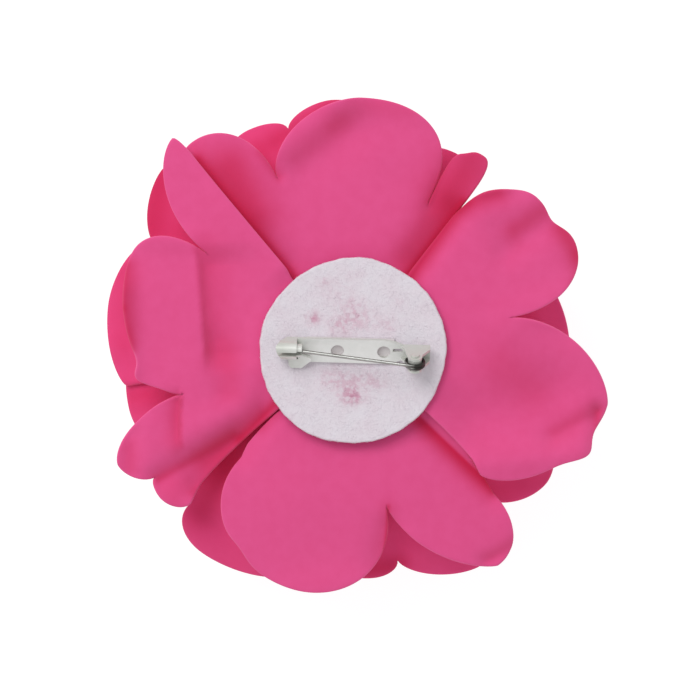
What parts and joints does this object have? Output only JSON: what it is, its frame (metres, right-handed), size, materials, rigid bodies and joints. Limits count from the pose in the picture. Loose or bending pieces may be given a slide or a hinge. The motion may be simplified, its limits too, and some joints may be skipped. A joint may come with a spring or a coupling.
{
  "type": "flower brooch",
  "caption": "Fabric flower brooch lying face down, with layered pink petals, a felt disc and a bar pin with a locking catch.",
  "frame": {"origin": "middle of the flower's outline, on the surface that its front petals' rims rest on", "axes": "+Z out of the brooch's back, where the pin is; +X along the pin towards its hinge; +Y across the pin"},
  "size_m": [0.0981, 0.097, 0.0414],
  "materials": {
    "petal": "matte smooth woven fabric",
    "petal_deep": "matte smooth woven fabric",
    "felt": "fuzzy off-white felt",
    "glue": "clear-dried hot glue",
    "steel": "nickel-plated steel"
  },
  "bodies": {
    "flower": {"back_petal_top": "petal", "back_petal_right": "petal", "back_petal_bottom": "petal", "back_petal_left": "petal", "second_petal_1": "petal_deep", "second_petal_2": "petal_deep", "second_petal_3": "petal_deep", "second_petal_4": "petal_deep", "second_petal_5": "petal_deep", "cup_petal_1": "petal_deep", "cup_petal_2": "petal_deep", "cup_petal_3": "petal_deep", "cup_petal_4": "petal_deep", "cup_petal_5": "petal_deep", "inner_petal_1": "petal", "inner_petal_2": "petal", "inner_petal_3": "petal", "inner_petal_4": "petal", "heart_petal_1": "petal", "heart_petal_2": "petal", "heart_petal_3": "petal", "bud": "petal_deep", "felt_disc": "felt", "glue_bed": "glue", "pin_plate": "steel", "hinge_rivet": "steel"},
    "stem": {"pin_stem": "steel"},
    "lock": {"lock_sleeve": "steel"}
  },
  "joints": [
    {"name": "stem_hinge", "type": "hinge", "parent": "flower", "child": "stem", "pos_m": [0.01099, -0.00361, 0.03944], "axis": [0.0227, 0.8657, 0.5], "range_deg": [0, 100]},
    {"name": "lock_turn", "type": "hinge", "parent": "flower", "child": "lock", "pos_m": [-0.013, -0.00111, 0.03769], "axis": [-0.9997, 0.0262, 0], "range_deg": [0, 90]}
  ]
}
